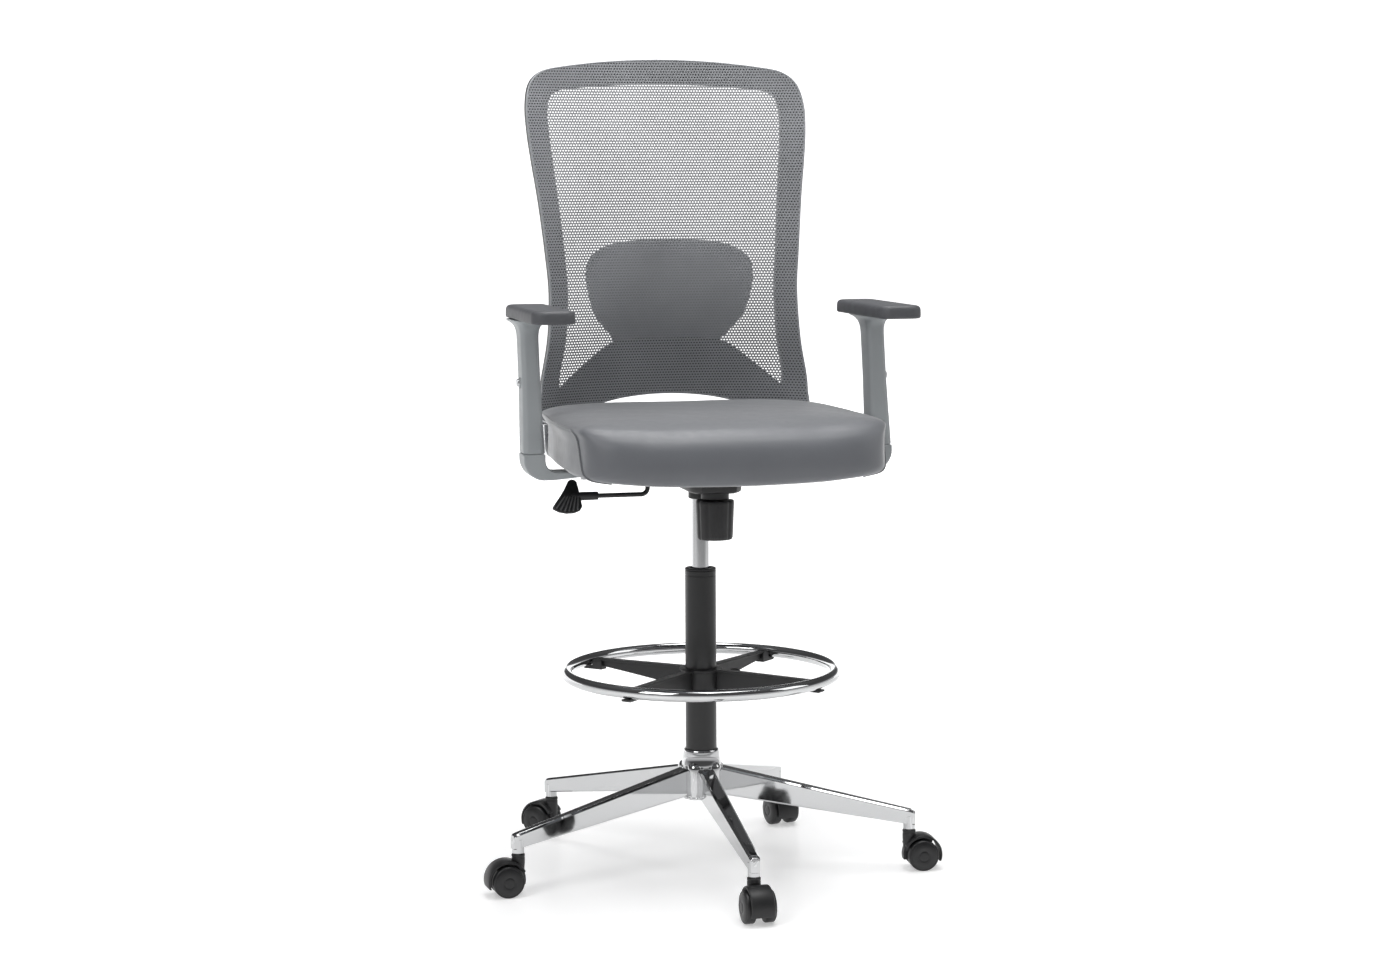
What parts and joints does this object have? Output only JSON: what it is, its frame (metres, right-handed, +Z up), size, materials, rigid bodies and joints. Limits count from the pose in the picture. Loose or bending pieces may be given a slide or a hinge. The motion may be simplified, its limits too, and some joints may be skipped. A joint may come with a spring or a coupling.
{
  "type": "drafting chair",
  "caption": "Tall swivel chair on a star castor base, with a foot ring on the column, gas lift, tilt mechanism, padded seat, height-adjustable arms and a mesh back with lumbar pad.",
  "frame": {"origin": "middle of the bounding box at floor level", "axes": "+Z up along the column, -Y towards the front of the seat, +X to the sitter's left"},
  "size_m": [0.7458, 0.7106, 1.309],
  "materials": {
    "polished_metal": "mirror polish",
    "steel": "satin",
    "black_paint": "satin black",
    "black_plastic": "fine texture",
    "grey_plastic": "fine texture",
    "arm_pad_grey": "soft matt",
    "seat_cover": "fine grain, piped seam",
    "mesh_grey": "open woven mesh"
  },
  "bodies": {
    "base": {"star_base": "polished_metal", "outer_column": "black_paint", "column_sleeve": "black_plastic", "thrust_bearing": "steel", "castor_1_stem": "steel", "castor_2_stem": "steel", "castor_3_stem": "steel", "castor_4_stem": "steel", "castor_5_stem": "steel"},
    "castor_1": {"castor_1_hood": "black_plastic", "castor_1_axle": "steel"},
    "castor_1_left": {"castor_1_wheel_left": "black_plastic"},
    "castor_1_right": {"castor_1_wheel_right": "black_plastic"},
    "castor_2": {"castor_2_hood": "black_plastic", "castor_2_axle": "steel"},
    "castor_2_left": {"castor_2_wheel_left": "black_plastic"},
    "castor_2_right": {"castor_2_wheel_right": "black_plastic"},
    "castor_3": {"castor_3_hood": "black_plastic", "castor_3_axle": "steel"},
    "castor_3_left": {"castor_3_wheel_left": "black_plastic"},
    "castor_3_right": {"castor_3_wheel_right": "black_plastic"},
    "castor_4": {"castor_4_hood": "black_plastic", "castor_4_axle": "steel"},
    "castor_4_left": {"castor_4_wheel_left": "black_plastic"},
    "castor_4_right": {"castor_4_wheel_right": "black_plastic"},
    "castor_5": {"castor_5_hood": "black_plastic", "castor_5_axle": "steel"},
    "castor_5_left": {"castor_5_wheel_left": "black_plastic"},
    "castor_5_right": {"castor_5_wheel_right": "black_plastic"},
    "ring_sleeve": {"foot_ring_sleeve": "black_plastic"},
    "foot_ring": {"foot_ring": "polished_metal", "foot_ring_spider": "black_plastic"},
    "ring_knob": {"foot_ring_knob": "black_plastic"},
    "lift_rod": {"piston_rod": "steel"},
    "lift": {"gas_cylinder": "polished_metal", "mechanism_housing": "black_paint", "tilt_pin": "steel", "tension_spring": "steel", "tension_bolt": "steel"},
    "valve": {"valve_pin": "steel"},
    "tension_knob": {"tension_knob": "black_plastic"},
    "lever_bush": {"lever_bush": "black_plastic"},
    "lever": {"lift_lever": "black_paint", "lever_paddle": "black_plastic"},
    "seat": {"seat_plate": "black_paint", "seat_pan": "black_plastic", "seat_cushion": "seat_cover", "arm_bracket_left": "grey_plastic", "arm_bracket_right": "grey_plastic", "back_strut_left": "grey_plastic", "back_strut_right": "grey_plastic", "back_frame": "grey_plastic", "back_mesh": "mesh_grey"},
    "arm_left": {"arm_sleeve_left": "grey_plastic", "arm_pad_left": "arm_pad_grey"},
    "arm_button_left": {"arm_button_left": "steel"},
    "arm_right": {"arm_sleeve_right": "grey_plastic", "arm_pad_right": "arm_pad_grey"},
    "arm_button_right": {"arm_button_right": "steel"},
    "lumbar": {"lumbar_pad": "black_plastic"}
  },
  "joints": [
    {"name": "castor_1_swivel", "type": "hinge", "parent": "base", "child": "castor_1", "pos_m": [-0.00006, -0.30256, 0.05], "axis": [0, 0, 1], "continuous": true},
    {"name": "castor_1_roll_left", "type": "hinge", "parent": "castor_1", "child": "castor_1_left", "pos_m": [0.00081, -0.32255, 0.025], "axis": [0.999, 0.0436, 0], "continuous": true},
    {"name": "castor_1_roll_right", "type": "hinge", "parent": "castor_1", "child": "castor_1_right", "pos_m": [0.00081, -0.32255, 0.025], "axis": [0.999, 0.0436, 0], "continuous": true},
    {"name": "castor_2_swivel", "type": "hinge", "parent": "base", "child": "castor_2", "pos_m": [0.31949, -0.07039, 0.05], "axis": [0, 0, 1], "continuous": true},
    {"name": "castor_2_roll_left", "type": "hinge", "parent": "castor_2", "child": "castor_2_left", "pos_m": [0.33942, -0.07214, 0.025], "axis": [0.0872, 0.9962, 0], "continuous": true},
    {"name": "castor_2_roll_right", "type": "hinge", "parent": "castor_2", "child": "castor_2_right", "pos_m": [0.33942, -0.07214, 0.025], "axis": [0.0872, 0.9962, 0], "continuous": true},
    {"name": "castor_3_swivel", "type": "hinge", "parent": "base", "child": "castor_3", "pos_m": [0.19743, 0.30527, 0.05], "axis": [0, 0, 1], "continuous": true},
    {"name": "castor_3_roll_left", "type": "hinge", "parent": "castor_3", "child": "castor_3_left", "pos_m": [0.20159, 0.2857, 0.025], "axis": [0.9781, 0.2079, 0], "continuous": true},
    {"name": "castor_3_roll_right", "type": "hinge", "parent": "castor_3", "child": "castor_3_right", "pos_m": [0.20159, 0.2857, 0.025], "axis": [0.9781, 0.2079, 0], "continuous": true},
    {"name": "castor_4_swivel", "type": "hinge", "parent": "base", "child": "castor_4", "pos_m": [-0.19756, 0.30527, 0.05], "axis": [0, 0, 1], "continuous": true},
    {"name": "castor_4_roll_left", "type": "hinge", "parent": "castor_4", "child": "castor_4_left", "pos_m": [-0.21158, 0.31953, 0.025], "axis": [-0.7133, -0.7009, 0], "continuous": true},
    {"name": "castor_4_roll_right", "type": "hinge", "parent": "castor_4", "child": "castor_4_right", "pos_m": [-0.21158, 0.31953, 0.025], "axis": [-0.7133, -0.7009, 0], "continuous": true},
    {"name": "castor_5_swivel", "type": "hinge", "parent": "base", "child": "castor_5", "pos_m": [-0.31962, -0.07039, 0.05], "axis": [0, 0, 1], "continuous": true},
    {"name": "castor_5_roll_left", "type": "hinge", "parent": "castor_5", "child": "castor_5_left", "pos_m": [-0.33955, -0.07196, 0.025], "axis": [0.0785, -0.9969, 0], "continuous": true},
    {"name": "castor_5_roll_right", "type": "hinge", "parent": "castor_5", "child": "castor_5_right", "pos_m": [-0.33955, -0.07196, 0.025], "axis": [0.0785, -0.9969, 0], "continuous": true},
    {"name": "ring_height", "type": "slide", "parent": "base", "child": "ring_sleeve", "axis": [0, 0, 1], "range_m": [-0.08, 0.1]},
    {"name": "ring_turn", "type": "hinge", "parent": "ring_sleeve", "child": "foot_ring", "pos_m": [-0.00006, 0.03344, 0.308], "axis": [0, 0, 1], "continuous": true},
    {"name": "ring_clamp", "type": "hinge", "parent": "foot_ring", "child": "ring_knob", "pos_m": [0.04994, 0.03344, 0.308], "axis": [1, 0, 0], "range_deg": [-180, 180]},
    {"name": "seat_swivel", "type": "hinge", "parent": "base", "child": "lift_rod", "pos_m": [-0.00006, 0.03344, 0.3], "axis": [0, 0, 1], "continuous": true},
    {"name": "seat_height", "type": "slide", "parent": "lift_rod", "child": "lift", "axis": [0, 0, 1], "range_m": [-0.1, 0.1]},
    {"name": "valve_press", "type": "slide", "parent": "lift", "child": "valve", "axis": [0, 0, -1], "range_m": [0, 0.0045]},
    {"name": "tension_turn", "type": "hinge", "parent": "lift", "child": "tension_knob", "pos_m": [-0.00006, -0.06656, 0.58], "axis": [0, 0, 1], "range_deg": [-360, 360]},
    {"name": "lever_lift", "type": "hinge", "parent": "lift", "child": "lever_bush", "pos_m": [-0.04206, 0.03344, 0.642], "axis": [0, 1, 0], "range_deg": [0, 6], "stiffness_Nm_per_rad": 2, "springref_deg": -5.73},
    {"name": "lever_pull", "type": "slide", "parent": "lever_bush", "child": "lever", "axis": [-1, 0, 0], "range_m": [0, 0.012]},
    {"name": "seat_tilt", "type": "hinge", "parent": "lift", "child": "seat", "pos_m": [-0.00006, 0.06344, 0.636], "axis": [-1, 0, 0], "range_deg": [0, 12], "stiffness_Nm_per_rad": 180, "springref_deg": -20.05},
    {"name": "arm_height_left", "type": "slide", "parent": "seat", "child": "arm_left", "axis": [0, 0.1736, 0.9848], "range_m": [0, 0.07]},
    {"name": "arm_button_press_left", "type": "slide", "parent": "arm_left", "child": "arm_button_left", "axis": [-1, 0, 0], "range_m": [0, 0.004], "stiffness_N_per_m": 800, "springref_m": -0.002},
    {"name": "arm_height_right", "type": "slide", "parent": "seat", "child": "arm_right", "axis": [0, 0.1736, 0.9848], "range_m": [0, 0.07]},
    {"name": "arm_button_press_right", "type": "slide", "parent": "arm_right", "child": "arm_button_right", "axis": [1, 0, 0], "range_m": [0, 0.004], "stiffness_N_per_m": 800, "springref_m": -0.002},
    {"name": "lumbar_height", "type": "slide", "parent": "seat", "child": "lumbar", "axis": [0, 0, 1], "range_m": [0, 0.03]}
  ],
  "couplings": [
    {"joint": "valve_press", "follows": "lever_lift", "m_per_rad": 0.04}
  ]
}
